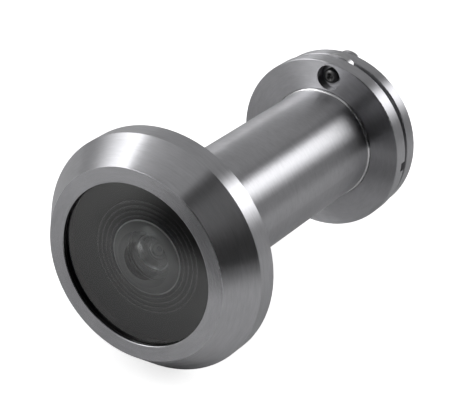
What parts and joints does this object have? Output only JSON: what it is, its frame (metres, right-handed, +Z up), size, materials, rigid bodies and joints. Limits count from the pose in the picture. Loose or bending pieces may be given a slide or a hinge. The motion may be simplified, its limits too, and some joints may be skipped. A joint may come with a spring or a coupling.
{
  "type": "door viewer",
  "caption": "Two-part door viewer in satin steel: lensed outer bezel and barrel, screw-in inner flange tube with eyepiece, and a swing cover.",
  "frame": {"origin": "on the viewing axis, where the bezel's back seats on the outer face of the door (the front end of the barrel)", "axes": "+Y along the viewing axis from outdoors to indoors, +Z up through the swing cover's pivot, +X to the right seen from outdoors"},
  "size_m": [0.0282, 0.046, 0.028],
  "materials": {
    "satin_steel": "satin, turned brushing",
    "bright_steel": "bright turned",
    "plated_brass": "nickel plated, threaded",
    "black_metal": "matt black",
    "black_plastic": "matt black",
    "black_rubber": "matt black",
    "lens_glass": "polished"
  },
  "bodies": {
    "outer": {"outer_bezel": "satin_steel", "lens_gasket": "black_rubber", "front_lens": "lens_glass", "lens_surround": "black_plastic", "outer_barrel": "satin_steel", "second_lens": "lens_glass", "lens_spacer": "black_metal", "third_lens": "lens_glass", "lens_retainer": "black_metal"},
    "washer": {"slip_washer": "bright_steel"},
    "inner": {"inner_flange": "satin_steel", "threaded_tube": "plated_brass", "light_stop": "black_plastic", "eyepiece_lens": "lens_glass", "eyepiece_gasket": "black_rubber", "eyepiece_retainer": "black_metal", "pivot_rivet": "bright_steel", "pivot_spacer": "bright_steel", "spring_washer": "bright_steel"},
    "cover": {"swing_cover": "satin_steel"}
  },
  "joints": [
    {"name": "screw_travel", "type": "slide", "parent": "outer", "child": "washer", "axis": [0, 1, 0], "range_m": [0, 0.02]},
    {"name": "screw_turn", "type": "hinge", "parent": "washer", "child": "inner", "pos_m": [0, 0.034, 0], "axis": [0, 1, 0], "range_deg": [0, 7200]},
    {"name": "cover_swing", "type": "hinge", "parent": "inner", "child": "cover", "pos_m": [0, 0.0379, 0.009], "axis": [0, 1, 0], "continuous": true}
  ],
  "couplings": [
    {"joint": "screw_turn", "follows": "screw_travel", "rad_per_m": 6283.2}
  ]
}
